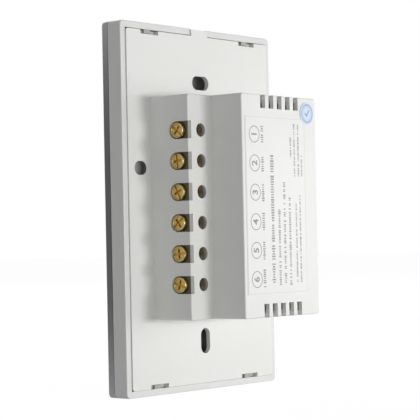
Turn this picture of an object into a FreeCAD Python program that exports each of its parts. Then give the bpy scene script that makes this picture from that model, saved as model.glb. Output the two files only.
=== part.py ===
import FreeCAD, Part
import Sketcher
import math
import os
from FreeCAD import Placement, Rotation, Vector

# Touch wall switch for a 4 x 2 inch wall box, in millimetres. The origin is the middle of the
# face that lies on the wall. +Z is up, +Y points into the wall, and the glass faces -Y.
# The terminal side of the rear box is +X.

SIZES = [
    # Cover: glass on a white frame
    ("cover_width", 74.3),
    ("cover_height", 116.6),
    ("cover_corner", 1.5),
    ("rim_width", 2.1),
    ("rim_setback", 0.45),
    ("frame_depth", 5.25),
    ("frame_web", 1.2),
    ("frame_edge", 0.3),
    ("tape_thickness", 0.2),
    ("tape_inset", 0.8),
    ("glass_thickness", 2.6),
    ("glass_edge", 0.6),
    # Touch keys, two columns of two
    ("key_spacing_x", 28.0),
    ("key_spacing_z", 34.0),
    ("key_window", 11.0),
    # Base plate inside the cover
    ("rim_gap", 0.12),
    ("top_gap", 0.28),
    ("plate_thickness", 2.2),
    ("plate_corner", 1.0),
    ("skirt_wall", 1.2),
    ("cover_seat_gap", 0.3),
    ("tab_width", 8.1),
    ("tab_gap", 0.12),
    ("tab_setback", 0.3),
    # Hooks of the cover in the windows of the plate
    ("window_width", 8.4),
    ("window_height", 1.3),
    ("top_window_x", 24.3),
    ("bottom_window_x", 22.5),
    ("ledge_thickness", 0.5),
    ("hook_width", 3.0),
    ("hook_reach", 1.2),
    ("hook_thickness", 0.75),
    ("hook_gap", 0.05),
    # Fixing holes
    ("fixing_spacing", 83.3),
    ("fixing_middle_z", -0.9),
    ("fixing_slot_width", 4.5),
    ("fixing_slot_length", 8.2),
    ("side_recess_x", 29.6),
    ("side_recess_z", 12.7),
    ("side_recess_width", 4.3),
    ("side_recess_length", 5.5),
    ("side_recess_depth", 1.8),
    ("slot_wall", 1.5),
    ("slot_relief", 1.5),
    ("screw_space_width", 24.0),
    ("screw_space_margin", 2.2),
    # Rear box: a low terminal step beside the tall main box
    ("box_width", 49.2),
    ("box_top", 35.0),
    ("box_bottom", -34.6),
    ("box_depth", 27.8),
    ("step_depth", 15.4),
    ("step_width", 10.9),
    ("side_wall", 1.5),
    ("rear_wall", 1.4),
    ("box_corner", 0.8),
    ("box_edge", 0.4),
    # Vent slots over both ends of the main box
    ("vent_width", 2.45),
    ("vent_pitch", 4.25),
    ("vent_height", 4.3),
    ("vent_depth", 8.0),
    # Terminals
    ("terminal_pitch", 9.55),
    ("terminal_middle_z", 0.1),
    ("wire_inset", 6.0),
    ("wire_hole", 4.2),
    ("entry_length", 1.3),
    ("screw_setback", 5.1),
    ("screw_slot", 5.5),
    ("head_diameter", 5.0),
    ("head_height", 1.5),
    ("head_recess", 0.4),
    ("head_edge", 0.25),
    ("recess_depth", 0.8),
    ("recess_width", 0.85),
    ("cross_length", 2.9),
    ("cross_depth", 1.2),
    ("recess_turn", 37.0),
    ("shank_diameter", 3.0),
    ("thread_gap", 0.06),
    ("clamp_travel", 1.6),
    ("clamp_gap", 0.1),
    ("cage_wall", 0.8),
    ("cage_throat", 3.3),
    ("cage_width", 6.2),
    ("cage_leg", 2.0),
    ("shoe_thickness", 1.0),
    ("shoe_gap", 0.2),
    ("block_gap", 0.25),
    ("block_width", 8.9),
    ("head_bore_gap", 0.2),
    # Boards and their screws
    ("board_gap", 0.4),
    ("power_board_rear", 0.6),
    ("power_board_thickness", 1.6),
    ("touch_board_thickness", 1.2),
    ("touch_board_height", 70.0),
    ("touch_board_margin", 2.0),
    ("touch_pad_height", 0.4),
    ("touch_pad", 4.0),
    ("touch_pad_inset", 0.1),
    ("touch_screw_z", 32.0),
    ("column", 4.4),
    ("column_inset", 4.2),
    ("board_screw", 2.0),
    ("board_screw_gap", 0.08),
    ("board_screw_head", 3.6),
    ("board_screw_head_height", 0.9),
    ("board_screw_length", 7.0),
    ("touch_screw_head_height", 0.5),
    ("touch_screw_grip", 1.5),
    # Parts on the touch board
    ("spring_diameter", 8.0),
    ("spring_wire", 0.5),
    ("key_air_gap", 0.3),
    ("led_width", 2.2),
    ("led_height", 0.6),
    ("guide_diameter", 4.0),
    ("chip_width", 5.0),
    ("chip_height", 0.5),
    ("chip_z", 26.0),
    ("connector_width", 2.6),
    ("connector_length", 12.7),
    ("connector_x", -12.0),
    # Parts on the power board: one row along the far wall, and relays in the width left
    ("wall_gap", 0.8),
    ("part_gap", 0.6),
    ("relay_width", 7.4),
    ("relay_height", 15.3),
    ("relay_edge", 0.5),
    ("relay_gap", 1.5),
    ("core_length", 12.6),
    ("core_width", 10.4),
    ("core_height", 14.0),
    ("core_leg", 3.2),
    ("winding_gap", 0.4),
    ("winding_length", 14.6),
    ("winding_play", 0.1),
    ("capacitor_diameter", 8.0),
    ("capacitor_height", 13.0),
    ("film_length", 11.0),
    ("film_width", 5.2),
    ("film_height", 10.5),
    ("varistor_diameter", 9.0),
    ("varistor_thickness", 3.6),
    ("fuse_diameter", 3.4),
    ("fuse_length", 9.0),
    ("rectifier_width", 6.2),
    ("rectifier_height", 2.4),
    ("wireless_width", 11.0),
    ("wireless_thickness", 0.8),
    ("shield_length", 10.0),
    ("shield_width", 9.0),
    ("shield_height", 2.2),
    ("antenna_diameter", 4.6),
    ("antenna_length", 14.0),
    ("antenna_wall", 0.7),
    # Printed sheets on the rear face
    ("sheet_thickness", 0.1),
    ("label_width", 30.8),
    ("label_height", 55.6),
    ("label_x", -3.1),
    ("label_z", 0.4),
    ("sticker_diameter", 7.2),
    ("sticker_x", -19.8),
    ("sticker_z", 30.0),
]
TERMINALS = 6
VENTS = 5
# How far a cut runs past the face that it opens
OVERRUN = 1.0

doc = FreeCAD.newDocument("touch_switch")
sheet = doc.addObject("Spreadsheet::Sheet", "sizes")
for row, (alias, number) in enumerate(SIZES, 1):
    sheet.set("A%d" % row, alias)
    sheet.set("B%d" % row, str(number))
    sheet.setAlias("B%d" % row, alias)
doc.recompute()


class Size:
    """A length and the sheet expression that gives it."""

    def __init__(self, number, text):
        self.number = float(number)
        self.text = text

    def join(self, other, sign, number):
        return Size(number, "(%s %s %s)" % (self.text, sign, sized(other).text))

    def __add__(self, other):
        return self.join(other, "+", self.number + sized(other).number)

    def __radd__(self, other):
        return sized(other) + self

    def __sub__(self, other):
        return self.join(other, "-", self.number - sized(other).number)

    def __rsub__(self, other):
        return sized(other) - self

    def __mul__(self, other):
        return self.join(other, "*", self.number * sized(other).number)

    def __rmul__(self, other):
        return sized(other) * self

    def __truediv__(self, other):
        return self.join(other, "/", self.number / sized(other).number)

    def __neg__(self):
        return self * -1


def sized(value):
    if isinstance(value, Size):
        return value
    return Size(value, "(%r)" % float(value))


class Sheet:
    """The driving sizes, each as an attribute."""

    def __init__(self, rows):
        for alias, number in rows:
            setattr(self, alias, Size(number, "sizes." + alias))


d = Sheet(SIZES)


# Helpers that bind geometry to the sheet

def bind(thing, path, value):
    thing.setExpression(path, sized(value).text)


PLANE_ROLE = {"X": "YZ_Plane", "Y": "XZ_Plane", "Z": "XY_Plane"}


def fix(sketch, kind, geometry, point, value):
    """Hold a sketch point at a signed distance from the sketch's origin."""
    if sized(value).number == 0:
        axis = -2 if kind == "DistanceX" else -1
        sketch.addConstraint(Sketcher.Constraint("PointOnObject", geometry, point, axis))
        return
    number = sized(value).number
    index = sketch.addConstraint(Sketcher.Constraint(kind, -1, 1, geometry, point, number))
    bind(sketch, "Constraints[%d]" % index, value)


def rectangle(u0, u1, v0, v1):
    def draw(sketch):
        first = sketch.GeometryCount
        corners = [(u0, v0), (u1, v0), (u1, v1), (u0, v1)]
        points = [Vector(sized(u).number, sized(v).number, 0) for u, v in corners]
        for k in range(4):
            sketch.addGeometry(Part.LineSegment(points[k], points[(k + 1) % 4]), False)
        for k in range(4):
            after = first + (k + 1) % 4
            sketch.addConstraint(Sketcher.Constraint("Coincident", first + k, 2, after, 1))
        for k, kind in enumerate(("Horizontal", "Vertical", "Horizontal", "Vertical")):
            sketch.addConstraint(Sketcher.Constraint(kind, first + k))
        fix(sketch, "DistanceX", first, 1, u0)
        fix(sketch, "DistanceY", first, 1, v0)
        fix(sketch, "DistanceX", first + 2, 1, u1)
        fix(sketch, "DistanceY", first + 2, 1, v1)
    return draw


def circle(u, v, diameter):
    def draw(sketch):
        first = sketch.GeometryCount
        centre = Vector(sized(u).number, sized(v).number, 0)
        radius = sized(diameter / 2)
        sketch.addGeometry(Part.Circle(centre, Vector(0, 0, 1), radius.number), False)
        index = sketch.addConstraint(Sketcher.Constraint("Radius", first, radius.number))
        bind(sketch, "Constraints[%d]" % index, radius)
        fix(sketch, "DistanceX", first, 3, u)
        fix(sketch, "DistanceY", first, 3, v)
    return draw


def slot(u0, v0, u1, v1, width):
    """A slot with round ends about the points (u0, v0) and (u1, v1)."""
    def draw(sketch):
        first = sketch.GeometryCount
        start = Vector(sized(u0).number, sized(v0).number, 0)
        end = Vector(sized(u1).number, sized(v1).number, 0)
        radius = sized(width / 2)
        along = (end - start).normalize()
        side = Vector(-along.y, along.x, 0) * radius.number
        turn = math.atan2(along.y, along.x)
        up = Vector(0, 0, 1)
        start_circle = Part.Circle(start, up, radius.number)
        end_circle = Part.Circle(end, up, radius.number)
        quarter = math.pi / 2
        shapes = [
            Part.ArcOfCircle(start_circle, turn + quarter, turn + 3 * quarter),
            Part.LineSegment(start - side, end - side),
            Part.ArcOfCircle(end_circle, turn - quarter, turn + quarter),
            Part.LineSegment(end + side, start + side),
        ]
        for shape in shapes:
            sketch.addGeometry(shape, False)
        for k in range(4):
            after = first + (k + 1) % 4
            sketch.addConstraint(Sketcher.Constraint("Tangent", first + k, 2, after, 1))
        sketch.addConstraint(Sketcher.Constraint("Equal", first, first + 2))
        index = sketch.addConstraint(Sketcher.Constraint("Radius", first, radius.number))
        bind(sketch, "Constraints[%d]" % index, radius)
        fix(sketch, "DistanceX", first, 3, u0)
        fix(sketch, "DistanceY", first, 3, v0)
        fix(sketch, "DistanceX", first + 2, 3, u1)
        fix(sketch, "DistanceY", first + 2, 3, v1)
    return draw


def extrude(body, kind, name, axis, start, end, loops):
    """Add (Pad) or cut (Pocket) the loops from start to end along an axis.

    Loops on axis Y are drawn in X and Z, and loops on axis X in Y and Z."""
    before = body.Shape.Volume if body.Tip else 0.0
    sketch = body.newObject("Sketcher::SketchObject", name + "_sketch")
    role = PLANE_ROLE[axis]
    plane = [part for part in body.Origin.OriginFeatures if part.Role == role][0]
    sketch.AttachmentSupport = [(plane, "")]
    sketch.MapMode = "FlatFace"
    bind(sketch, "AttachmentOffset.Base.z", -sized(start) if axis == "Y" else start)
    for loop in loops:
        loop(sketch)
    feature = body.newObject("PartDesign::" + kind, name)
    feature.Profile = sketch
    bind(feature, "Length", end - start)
    feature.Reversed = (kind == "Pad") == (axis == "Y")
    doc.recompute()
    change = body.Shape.Volume - before
    if (change <= 0) if kind == "Pad" else (change >= 0):
        raise RuntimeError("%s changes the volume by %.3f" % (name, change))


def edges_along(shape, axis, test=None):
    """Names of the straight edges that run along an axis and pass the test."""
    names = []
    for number, edge in enumerate(shape.Edges, 1):
        if not isinstance(edge.Curve, Part.Line):
            continue
        way = edge.Curve.Direction
        if abs(abs(getattr(way, axis)) - 1) > 1e-6:
            continue
        if test is None or test(edge.CenterOfMass):
            names.append("Edge%d" % number)
    return names


def edges_at(shape, axis, place, test=None):
    """Names of the edges that lie in a plane square to an axis."""
    names = []
    for number, edge in enumerate(shape.Edges, 1):
        box = edge.BoundBox
        low, high = getattr(box, axis + "Min"), getattr(box, axis + "Max")
        if abs(low - place) > 1e-4 or abs(high - place) > 1e-4:
            continue
        if test is None or test(edge.CenterOfMass):
            names.append("Edge%d" % number)
    return names


def round_edges(body, name, names, radius):
    base = body.Tip
    feature = body.newObject("PartDesign::Fillet", name)
    feature.Base = (base, names)
    bind(feature, "Radius", radius)
    doc.recompute()


def box(name, x0, x1, y0, y1, z0, z1):
    thing = doc.addObject("Part::Box", name)
    bind(thing, "Length", x1 - sized(x0))
    bind(thing, "Width", y1 - sized(y0))
    bind(thing, "Height", z1 - sized(z0))
    bind(thing, "Placement.Base.x", x0)
    bind(thing, "Placement.Base.y", y0)
    bind(thing, "Placement.Base.z", z0)
    return thing


CYLINDER_TURN = {
    "X": Rotation(Vector(0, 1, 0), 90),
    "Y": Rotation(Vector(1, 0, 0), -90),
    "Z": Rotation(),
}


def cylinder(name, axis, start, end, first, second, diameter):
    """A cylinder along an axis; first and second place it on the other two axes."""
    thing = doc.addObject("Part::Cylinder", name)
    thing.Placement = Placement(Vector(), CYLINDER_TURN[axis])
    bind(thing, "Radius", diameter / 2)
    bind(thing, "Height", end - sized(start))
    others = [letter for letter in "XYZ" if letter != axis]
    places = {axis: start, others[0]: first, others[1]: second}
    for letter, place in places.items():
        bind(thing, "Placement.Base." + letter.lower(), place)
    return thing


def cut(name, base, tools):
    result = base
    for count, tool in enumerate(tools, 1):
        step = doc.addObject("Part::Cut", "%s_%d" % (name, count))
        step.Base = result
        step.Tool = tool
        result = step
    return result


def fuse(name, parts):
    thing = doc.addObject("Part::MultiFuse", name)
    thing.Shapes = parts
    return thing


def group(name, parts):
    """Separate solids of one kind, kept as one sub-part."""
    thing = doc.addObject("Part::Compound", name)
    thing.Links = parts
    return thing


NODES = []


def node(label, thing):
    thing.Label = label
    NODES.append(thing)
    return thing


def new_body(label):
    body = doc.addObject("PartDesign::Body", label + "_body")
    node(label, body)
    return body


# Levels along Y, from the wall side to the glass

rim_rear = -d.rim_setback
frame_front = rim_rear - d.frame_depth
web_rear = frame_front + d.frame_web
glass_rear = frame_front - d.tape_thickness
glass_front = glass_rear - d.glass_thickness
plate_front = -d.plate_thickness
skirt_front = web_rear + d.cover_seat_gap
power_board_front = d.power_board_rear - d.power_board_thickness
touch_board_rear = plate_front - d.touch_pad_height
touch_board_front = touch_board_rear - d.touch_board_thickness
key_front = glass_rear + d.key_air_gap
screw_y = d.step_depth - d.screw_setback
step_inside = d.step_depth - d.rear_wall
box_inside = d.box_depth - d.rear_wall

# Places along X and Z

half_width = d.cover_width / 2
half_height = d.cover_height / 2
opening_x = half_width - d.rim_width
opening_z = half_height - d.rim_width
plate_x = opening_x - d.rim_gap
plate_top = opening_z - d.top_gap
plate_bottom = opening_z - d.rim_gap
side_x = d.box_width / 2
step_x = side_x - d.step_width
inner_x = side_x - d.side_wall
inner_step_x = step_x - d.side_wall
inner_top = d.box_top - d.side_wall
inner_bottom = d.box_bottom + d.side_wall
box_middle_x = (step_x - side_x) / 2
board_x = inner_x - d.board_gap
board_top = inner_top - d.board_gap
board_bottom = inner_bottom + d.board_gap
wire_x = side_x - d.wire_inset
upper_slot_z = d.fixing_middle_z + d.fixing_spacing / 2
lower_slot_z = d.fixing_middle_z - d.fixing_spacing / 2
slot_run = (d.fixing_slot_length - d.fixing_slot_width) / 2
key_places = [(a * d.key_spacing_x / 2, b * d.key_spacing_z / 2) for a in (-1, 1) for b in (-1, 1)]
terminal_z = [
    d.terminal_middle_z + d.terminal_pitch * ((TERMINALS - 1) / 2 - k) for k in range(TERMINALS)
]
window_places = [
    (d.top_window_x, 1), (-d.top_window_x, 1), (d.bottom_window_x, -1), (-d.bottom_window_x, -1),
]
column_right = inner_step_x - d.column_inset
column_left = -inner_x + d.column_inset
column_places = [
    (x, z)
    for x in (column_left, column_right)
    for z in (board_top - d.column_inset, board_bottom + d.column_inset)
]
touch_screw_x = inner_x + d.touch_pad_inset + d.touch_pad / 2
touch_screw_places = [(a * touch_screw_x, b * d.touch_screw_z) for a in (-1, 1) for b in (-1, 1)]

# The row of parts along the far wall, spread evenly between the columns

row_x = -inner_x + d.wall_gap + d.core_length / 2
row_top = board_top - d.column_inset - d.column / 2
row_bottom = board_bottom + d.column_inset + d.column / 2
row_widths = [
    d.winding_length, d.capacitor_diameter, d.film_width, d.rectifier_width, d.antenna_diameter,
]
row_space = row_top - row_bottom
for width in row_widths:
    row_space = row_space - width
row_gap = row_space / (len(row_widths) + 1)
row_z = []
low = row_top
for width in row_widths:
    row_z.append(low - row_gap - width / 2)
    low = low - row_gap - width
transformer_z, capacitor_z, film_z, rectifier_z, antenna_z = row_z

# The relays take the width that is left, and the other parts stand above and below them

relay_left = row_x + d.core_length / 2 + d.part_gap
relay_right = inner_step_x - d.relay_gap
relay_z = terminal_z[1:-1]
module_left = row_x + d.antenna_diameter / 2 + d.part_gap
module_right = column_right - d.column / 2 - d.part_gap
above_relays_z = (relay_z[0] + d.relay_width / 2 + board_top) / 2
below_relays_z = (relay_z[-1] - d.relay_width / 2 + board_bottom) / 2


def fixing_slots(width):
    """Outlines about both fixing slots: the upper one lies flat, the lower one stands."""
    return [
        slot(-slot_run, upper_slot_z, slot_run, upper_slot_z, width),
        slot(0, lower_slot_z - slot_run, 0, lower_slot_z + slot_run, width),
    ]


def across(inner, outer, sign):
    """The two distances in rising order, on the side that sign names."""
    return (inner, outer) if sign > 0 else (-sized(outer), -sized(inner))


def plate_edge(sign):
    """How far the base plate reaches, upwards or downwards."""
    return plate_top if sign > 0 else plate_bottom


# Cover

def make_glass():
    body = new_body("glass_panel")
    outline = rectangle(-half_width, half_width, -half_height, half_height)
    extrude(body, "Pad", "glass_sheet", "Y", glass_front, glass_rear, [outline])
    round_edges(body, "glass_corners", edges_along(body.Shape, "y"), d.cover_corner)
    front = edges_at(body.Shape, "Y", glass_front.number)
    round_edges(body, "glass_front_edge", front, d.glass_edge)


def make_adhesive():
    x = half_width - d.tape_inset
    z = half_height - d.tape_inset
    tape = box("tape_sheet", -x, x, glass_rear, frame_front, -z, z)
    holes = [
        cylinder("tape_hole", "Y", glass_rear - OVERRUN, frame_front + OVERRUN, u, v, d.key_window)
        for u, v in key_places
    ]
    node("glass_adhesive", cut("tape_cut", tape, holes))


def make_frame():
    body = new_body("front_frame")
    outline = rectangle(-half_width, half_width, -half_height, half_height)
    extrude(body, "Pad", "frame_block", "Y", frame_front, rim_rear, [outline])
    round_edges(body, "frame_corners", edges_along(body.Shape, "y"), d.cover_corner)
    rear = edges_at(body.Shape, "Y", rim_rear.number)
    round_edges(body, "frame_rear_edge", rear, d.frame_edge)
    inside = rectangle(-opening_x, opening_x, -opening_z, opening_z)
    extrude(body, "Pocket", "frame_inside", "Y", web_rear, rim_rear, [inside])
    windows = [circle(u, v, d.key_window) for u, v in key_places]
    space = d.screw_space_width / 2
    reaches = [
        (upper_slot_z, d.fixing_slot_width / 2 + d.screw_space_margin),
        (lower_slot_z, d.fixing_slot_length / 2 + d.screw_space_margin),
    ]
    windows += [rectangle(-space, space, z - reach, z + reach) for z, reach in reaches]
    extrude(body, "Pocket", "web_windows", "Y", frame_front, web_rear, windows)
    notch_x = d.tab_width / 2 + d.tab_gap
    notch = rectangle(-notch_x, notch_x, opening_z - OVERRUN, half_height + OVERRUN)
    extrude(body, "Pocket", "tab_notch", "Y", plate_front - d.tab_gap, rim_rear, [notch])


def make_hooks():
    rear = -d.plate_thickness + d.ledge_thickness + d.hook_gap
    hooks = []
    for x, sign in window_places:
        z0, z1 = across(opening_z - d.hook_reach, opening_z, sign)
        half = d.hook_width / 2
        hooks.append(box("hook", x - half, x + half, rear, rear + d.hook_thickness, z0, z1))
    node("snap_hooks", group("hooks", hooks))


# Rear housing

def make_housing():
    body = new_body("rear_housing")
    plate = rectangle(-plate_x, plate_x, -plate_bottom, plate_top)
    extrude(body, "Pad", "plate", "Y", plate_front, 0, [plate])
    round_edges(body, "plate_corners", edges_along(body.Shape, "y"), d.plate_corner)
    half_tab = d.tab_width / 2
    tab = rectangle(-half_tab, half_tab, plate_top - OVERRUN, half_height - d.tab_setback)
    extrude(body, "Pad", "pry_tab", "Y", plate_front, 0, [tab])
    step = rectangle(-side_x, side_x, d.box_bottom, d.box_top)
    extrude(body, "Pad", "terminal_step", "Y", plate_front, d.step_depth, [step])
    main = rectangle(-side_x, step_x, d.box_bottom, d.box_top)
    extrude(body, "Pad", "main_box", "Y", plate_front, d.box_depth, [main])
    outer = edges_along(body.Shape, "y", lambda at: at.y > d.box_corner.number)
    round_edges(body, "box_corners", outer, d.box_corner)
    rear = edges_at(body.Shape, "Y", d.box_depth.number)
    beside_main_box = step_x + d.box_edge
    rear += edges_at(
        body.Shape, "Y", d.step_depth.number, lambda at: at.x > beside_main_box.number
    )
    round_edges(body, "box_rear_edges", rear, d.box_edge)
    skirt_x = plate_x - d.skirt_wall
    ring = [
        rectangle(-plate_x, plate_x, -plate_bottom, plate_top),
        rectangle(-skirt_x, skirt_x, d.skirt_wall - plate_bottom, plate_top - d.skirt_wall),
    ]
    extrude(body, "Pad", "skirt", "Y", skirt_front, plate_front, ring)
    low = rectangle(-inner_x, inner_x, inner_bottom, inner_top)
    extrude(body, "Pocket", "low_cavity", "Y", plate_front, step_inside, [low])
    high = rectangle(-inner_x, inner_step_x, inner_bottom, inner_top)
    extrude(body, "Pocket", "main_cavity", "Y", step_inside, box_inside, [high])
    columns = [circle(x, z, d.column) for x, z in column_places]
    extrude(body, "Pad", "columns", "Y", d.power_board_rear, box_inside, columns)
    pilot = d.board_screw + d.board_screw_gap * 2
    pilots = [circle(x, z, pilot) for x, z in column_places]
    pilot_end = d.power_board_rear + d.board_screw_length
    extrude(body, "Pocket", "column_pilots", "Y", d.power_board_rear, pilot_end, pilots)
    pads = [circle(x, z, d.touch_pad) for x, z in touch_screw_places]
    extrude(body, "Pad", "touch_pads", "Y", touch_board_rear, plate_front, pads)
    pilots = [circle(x, z, pilot) for x, z in touch_screw_places]
    pilot_end = touch_board_rear + d.touch_screw_grip + d.board_screw_gap
    extrude(body, "Pocket", "touch_pilots", "Y", touch_board_rear, pilot_end, pilots)
    cut_fixings(body)
    cut_windows(body)
    cut_terminal_holes(body)
    cut_vents(body)


def cut_fixings(body):
    relief = fixing_slots(d.fixing_slot_width + d.slot_relief * 2)
    extrude(body, "Pocket", "slot_relief", "Y", plate_front, -d.slot_wall, relief)
    extrude(body, "Pocket", "fixing_slots", "Y", -d.slot_wall, 0, fixing_slots(d.fixing_slot_width))
    x, z = d.side_recess_x, d.side_recess_z
    run = (d.side_recess_length - d.side_recess_width) / 2
    side = [slot(x - run, z, x + run, z, d.side_recess_width)]
    extrude(body, "Pocket", "side_recess", "Y", -d.side_recess_depth, 0, side)


def cut_windows(body):
    """Blind windows whose floors are the ledges that the hooks hold on to."""
    half = d.window_width / 2
    openings = []
    gaps = []
    for x, sign in window_places:
        edge = plate_edge(sign)
        z0, z1 = across(edge - d.window_height, edge + OVERRUN, sign)
        openings.append(rectangle(x - half, x + half, z0, z1))
        z0, z1 = across(edge - d.skirt_wall - OVERRUN, edge + OVERRUN, sign)
        gaps.append(rectangle(x - half, x + half, z0, z1))
    extrude(body, "Pocket", "hook_windows", "Y", plate_front + d.ledge_thickness, 0, openings)
    extrude(body, "Pocket", "skirt_gaps", "Y", skirt_front, plate_front, gaps)


def cut_terminal_holes(body):
    wires = [circle(wire_x, z, d.wire_hole) for z in terminal_z]
    extrude(body, "Pocket", "wire_holes", "Y", step_inside, d.step_depth, wires)
    beyond = d.step_depth + d.screw_slot
    slots = [slot(screw_y, z, beyond, z, d.screw_slot) for z in terminal_z]
    extrude(body, "Pocket", "screw_slots", "X", inner_x, side_x, slots)


def cut_vents(body):
    half = d.vent_width / 2
    start = d.box_depth - d.vent_depth
    top = d.box_top - d.vent_height, d.box_top + OVERRUN
    bottom = d.box_bottom - OVERRUN, d.box_bottom + d.vent_height
    vents = []
    for k in range(VENTS):
        x = box_middle_x + d.vent_pitch * (k - (VENTS - 1) / 2)
        vents += [rectangle(x - half, x + half, *ends) for ends in (top, bottom)]
    extrude(body, "Pocket", "vents", "Y", start, d.box_depth, vents)


# Boards

def board_screws(label, places, front, head_height, length):
    """Slotted screws whose heads seat on a board's front face."""
    half = d.board_screw / 2
    screws = []
    for x, z in places:
        cap = cylinder("cap", "Y", front - head_height, front, x, z, d.board_screw_head)
        shank = cylinder("shank", "Y", front, front + length, x, z, d.board_screw)
        mark = box(
            "mark", x - half, x + half, front - head_height - OVERRUN,
            front - head_height / 2, z - head_height / 4, z + head_height / 4,
        )
        screws.append(cut("driven", fuse("screw", [cap, shank]), [mark]))
    node(label, group(label + "_set", screws))


def make_boards():
    x, z0, z1 = board_x, board_bottom, board_top
    power = box("power_sheet", -x, x, power_board_front, d.power_board_rear, z0, z1)
    bore = d.board_screw + d.board_screw_gap * 2
    holes = [
        cylinder(
            "hole", "Y", power_board_front - OVERRUN, d.power_board_rear + OVERRUN, u, v, bore
        )
        for u, v in column_places
    ]
    node("power_board", cut("power_cut", power, holes))
    u, v = touch_screw_x + d.touch_board_margin, d.touch_board_height / 2
    touch = box("touch_sheet", -u, u, touch_board_front, touch_board_rear, -v, v)
    holes = [
        cylinder(
            "hole", "Y", touch_board_front - OVERRUN, touch_board_rear + OVERRUN, u, v, bore
        )
        for u, v in touch_screw_places
    ]
    node("touch_board", cut("touch_cut", touch, holes))
    grip = d.power_board_thickness + d.board_screw_length - d.board_screw_gap
    board_screws(
        "power_board_screws", column_places, power_board_front, d.board_screw_head_height, grip
    )
    grip = d.touch_board_thickness + d.touch_screw_grip
    board_screws(
        "touch_board_screws", touch_screw_places, touch_board_front, d.touch_screw_head_height,
        grip,
    )


def make_touch_parts():
    springs, lights, guides = [], [], []
    led_front = touch_board_front - d.led_height
    half = d.led_width / 2
    for x, z in key_places:
        outer = cylinder("coil", "Y", key_front, touch_board_front, x, z, d.spring_diameter)
        inside = d.spring_diameter - d.spring_wire * 2
        inner = cylinder(
            "bore", "Y", key_front - OVERRUN, touch_board_front + OVERRUN, x, z, inside
        )
        springs.append(cut("spring", outer, [inner]))
        lights.append(
            box("led", x - half, x + half, led_front, touch_board_front, z - half, z + half)
        )
        guides.append(cylinder("guide", "Y", key_front, led_front, x, z, d.guide_diameter))
    node("touch_springs", group("springs", springs))
    node("status_leds", group("leds", lights))
    node("light_guides", group("guides", guides))
    half = d.chip_width / 2
    front = touch_board_front - d.chip_height
    chip = box("chip", -half, half, front, touch_board_front, d.chip_z - half, d.chip_z + half)
    node("touch_chip", chip)
    x0, x1 = d.connector_x - d.connector_width / 2, d.connector_x + d.connector_width / 2
    z = d.connector_length / 2
    middle = (power_board_front + touch_board_rear) / 2
    node("board_header", box("header", x0, x1, middle, power_board_front, -z, z))
    node("board_socket", box("socket", x0, x1, touch_board_rear, middle, -z, z))


# Parts that stand on the power board

def standing(name, x, z, length, width, height):
    """A block that stands on the rear face of the power board."""
    base = d.power_board_rear
    return box(
        name, x - length / 2, x + length / 2, base, base + height, z - width / 2, z + width / 2
    )


def rounded(name, thing, axis, radius):
    doc.recompute()
    feature = doc.addObject("Part::Fillet", name)
    feature.Base = thing
    numbers = [int(edge[4:]) for edge in edges_along(thing.Shape, axis)]
    feature.Edges = [(number, radius.number, radius.number) for number in numbers]
    return feature


def make_relays():
    """One relay for each gang, beside the four middle terminals."""
    x = (relay_left + relay_right) / 2
    length = relay_right - relay_left
    relays = []
    for z in relay_z:
        block = standing("relay", x, z, length, d.relay_width, d.relay_height)
        relays.append(rounded("relay_round", block, "y", d.relay_edge))
    node("relays", group("relay_set", relays))


def make_transformer():
    base = d.power_board_rear
    x, z = row_x, transformer_z
    outer = standing("core_block", x, z, d.core_length, d.core_width, d.core_height)
    leg = d.core_leg
    over = d.core_width / 2 + OVERRUN
    windows = []
    for sign in (-1, 1):
        inner_u = x + sign * leg / 2
        outer_u = x + sign * (d.core_length / 2 - leg / 2)
        u0, u1 = (inner_u, outer_u) if sign > 0 else (outer_u, inner_u)
        windows.append(
            box("core_window", u0, u1, base + leg, base + d.core_height - leg, z - over, z + over)
        )
    node("transformer_core", cut("core", outer, windows))
    gap = d.winding_gap
    half_u = d.core_length / 2 - leg / 2 - gap
    half_w = d.winding_length / 2
    y0, y1 = base + leg + gap, base + d.core_height - leg - gap
    coil = box("coil_block", x - half_u, x + half_u, y0, y1, z - half_w, z + half_w)
    slim = leg / 2 + d.winding_play
    hollow = box(
        "coil_hole", x - slim, x + slim, y0 - OVERRUN, y1 + OVERRUN,
        z - d.core_width / 2 - gap, z + d.core_width / 2 + gap,
    )
    node("transformer_winding", cut("coil", coil, [hollow]))


def make_power_parts():
    base = d.power_board_rear
    node(
        "bulk_capacitor",
        cylinder(
            "can", "Y", base, base + d.capacitor_height, row_x, capacitor_z, d.capacitor_diameter,
        ),
    )
    film = standing("film", row_x, film_z, d.film_length, d.film_width, d.film_height)
    node("film_capacitor", rounded("film_round", film, "y", d.relay_edge))
    node(
        "varistor",
        cylinder(
            "disc", "X", module_right - d.varistor_thickness, module_right,
            base + d.varistor_diameter / 2, above_relays_z, d.varistor_diameter,
        ),
    )
    top = base + d.fuse_length
    x = relay_left + d.part_gap + d.fuse_diameter / 2
    fuse = cylinder("fuse_tube", "Y", base, top, x, above_relays_z, d.fuse_diameter)
    node("fuse", fuse)
    node(
        "bridge_rectifier",
        standing(
            "rectifier", row_x, rectifier_z,
            d.rectifier_width, d.rectifier_width, d.rectifier_height,
        ),
    )
    x, z = (module_left + module_right) / 2, below_relays_z
    module = standing(
        "module", x, z, module_right - module_left, d.wireless_width, d.wireless_thickness
    )
    node("wireless_board", module)
    top = base + d.wireless_thickness
    u, v = d.shield_length / 2, d.shield_width / 2
    node(
        "wireless_shield",
        box(
            "shield", x - u, x + u, top, top + d.shield_height, z - v, z + v,
        ),
    )
    end = base + d.antenna_length
    coil = cylinder("antenna", "Y", base, end, row_x, antenna_z, d.antenna_diameter)
    inside = d.antenna_diameter - d.antenna_wall * 2
    bore = cylinder(
        "antenna_bore", "Y", base - OVERRUN, end + OVERRUN, row_x, antenna_z, inside
    )
    node("radio_antenna", cut("antenna_tube", coil, [bore]))


# Terminals: in each block a cage holds the screw, which drives a clamp shoe on to the wire

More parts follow.
